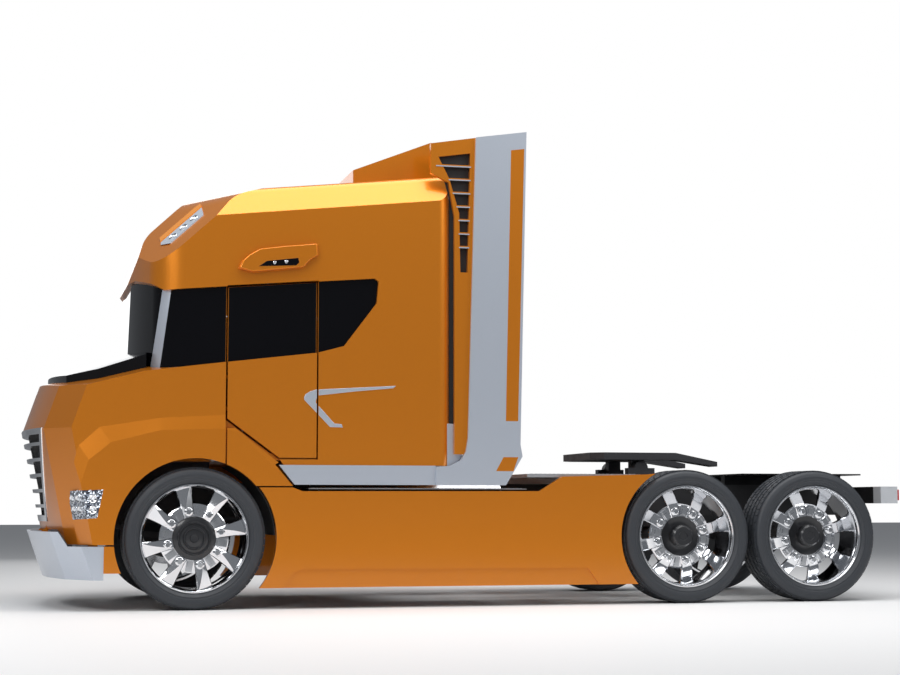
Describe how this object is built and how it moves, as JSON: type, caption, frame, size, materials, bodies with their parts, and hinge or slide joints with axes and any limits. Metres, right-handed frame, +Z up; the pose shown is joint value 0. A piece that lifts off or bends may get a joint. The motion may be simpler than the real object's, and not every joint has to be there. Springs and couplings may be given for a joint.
{
  "type": "semi truck tractor unit",
  "caption": "Long-haul tractor unit with a sleeper cab, tilting hood, side skirts, single wide tyres and an open fifth wheel.",
  "frame": {"origin": "middle of the truck's length and width, on the ground", "axes": "-X forward, -Y to the truck's left side, +Z up"},
  "size_m": [7.15, 2.56, 3.765],
  "materials": {
    "body_paint": "pearl orange lacquer",
    "satin_silver": "satin blue-grey metallic lacquer",
    "dark_glass": "dark tinted glass, glossy",
    "bright_trim": "polished",
    "wheel_polish": "polished alloy",
    "tyre_rubber": "satin black rubber",
    "chassis_black": "satin black enamel",
    "cast_steel": "rough cast and machined steel",
    "tank_alloy": "brushed",
    "deck_plate": "chequered plate",
    "inner_lining": "matt grain",
    "seat_cloth": "woven",
    "lamp_clear": "clear moulded lens",
    "lamp_amber": "clear amber and clear lens",
    "lamp_red": "clear red lens"
  },
  "bodies": {
    "chassis": {"bumper": "satin_silver", "cab_back_wall": "body_paint", "cab_floor": "body_paint", "cab_front": "body_paint", "cab_glass": "dark_glass", "cab_roof": "body_paint", "cab_sides": "body_paint", "camera_pods": "body_paint", "columns": "body_paint", "dashboard": "inner_lining", "deflector_inlays": "body_paint", "drive_axles": "cast_steel", "drive_shaft": "cast_steel", "engine": "cast_steel", "fifth_wheel_base": "cast_steel", "frame": "chassis_black", "front_axle": "cast_steel", "fuel_tanks": "tank_alloy", "post_trim": "bright_trim", "radiator": "chassis_black", "roof_deflector": "body_paint", "roof_lamps": "lamp_amber", "seats": "seat_cloth", "side_deflectors": "satin_silver", "sills": "satin_silver", "skirts": "body_paint", "springs": "cast_steel", "tail_bar": "chassis_black", "tail_lamps": "lamp_red", "walkways": "deck_plate", "wing_tails": "body_paint"},
    "hood": {"hood": "body_paint", "grille": "bright_trim", "headlamps": "lamp_clear", "scuttle_cover": "chassis_black"},
    "door_left": {"door_left": "body_paint", "door_glass_left": "dark_glass"},
    "door_right": {"door_right": "body_paint", "door_glass_right": "dark_glass"},
    "knuckle_left": {"knuckle_left": "cast_steel"},
    "knuckle_right": {"knuckle_right": "cast_steel"},
    "coupling_plate": {"fifth_wheel_plate": "cast_steel"},
    "road_wheel_front_left": {"tyre_front_left": "tyre_rubber", "wheel_front_left": "wheel_polish"},
    "road_wheel_front_right": {"tyre_front_right": "tyre_rubber", "wheel_front_right": "wheel_polish"},
    "road_wheel_mid_left": {"tyre_mid_left": "tyre_rubber", "wheel_mid_left": "wheel_polish"},
    "road_wheel_mid_right": {"tyre_mid_right": "tyre_rubber", "wheel_mid_right": "wheel_polish"},
    "road_wheel_rear_left": {"tyre_rear_left": "tyre_rubber", "wheel_rear_left": "wheel_polish"},
    "road_wheel_rear_right": {"tyre_rear_right": "tyre_rubber", "wheel_rear_right": "wheel_polish"}
  },
  "joints": [
    {"name": "hood_tilt", "type": "hinge", "parent": "chassis", "child": "hood", "pos_m": [-3.405, 0, 0.56], "axis": [0, -1, 0], "range_deg": [0, 50]},
    {"name": "door_left_swing", "type": "hinge", "parent": "chassis", "child": "door_left", "pos_m": [-2.04684, -1.205, 1.64], "axis": [0, 0, -1], "range_deg": [0, 75]},
    {"name": "door_right_swing", "type": "hinge", "parent": "chassis", "child": "door_right", "pos_m": [-2.04684, 1.205, 1.64], "axis": [0, 0, 1], "range_deg": [0, 75]},
    {"name": "steer_left", "type": "hinge", "parent": "chassis", "child": "knuckle_left", "pos_m": [-2.305, -0.975, 0.535], "axis": [0, 0, 1], "range_deg": [-35, 35]},
    {"name": "steer_right", "type": "hinge", "parent": "chassis", "child": "knuckle_right", "pos_m": [-2.305, 0.975, 0.535], "axis": [0, 0, 1], "range_deg": [-35, 35]},
    {"name": "coupling_rock", "type": "hinge", "parent": "chassis", "child": "coupling_plate", "pos_m": [1.555, 0, 1.1], "axis": [0, 1, 0], "range_deg": [-10, 10]},
    {"name": "spin_front_left", "type": "hinge", "parent": "knuckle_left", "child": "road_wheel_front_left", "pos_m": [-2.305, -1.045, 0.535], "axis": [0, 1, 0], "continuous": true},
    {"name": "spin_front_right", "type": "hinge", "parent": "knuckle_right", "child": "road_wheel_front_right", "pos_m": [-2.305, 1.045, 0.535], "axis": [0, 1, 0], "continuous": true},
    {"name": "spin_mid_left", "type": "hinge", "parent": "chassis", "child": "road_wheel_mid_left", "pos_m": [1.647, -1.045, 0.535], "axis": [0, 1, 0], "continuous": true},
    {"name": "spin_mid_right", "type": "hinge", "parent": "chassis", "child": "road_wheel_mid_right", "pos_m": [1.647, 1.045, 0.535], "axis": [0, 1, 0], "continuous": true},
    {"name": "spin_rear_left", "type": "hinge", "parent": "chassis", "child": "road_wheel_rear_left", "pos_m": [2.771, -1.045, 0.535], "axis": [0, 1, 0], "continuous": true},
    {"name": "spin_rear_right", "type": "hinge", "parent": "chassis", "child": "road_wheel_rear_right", "pos_m": [2.771, 1.045, 0.535], "axis": [0, 1, 0], "continuous": true}
  ],
  "couplings": [
    {"joint": "steer_right", "follows": "steer_left", "ratio": 1}
  ]
}
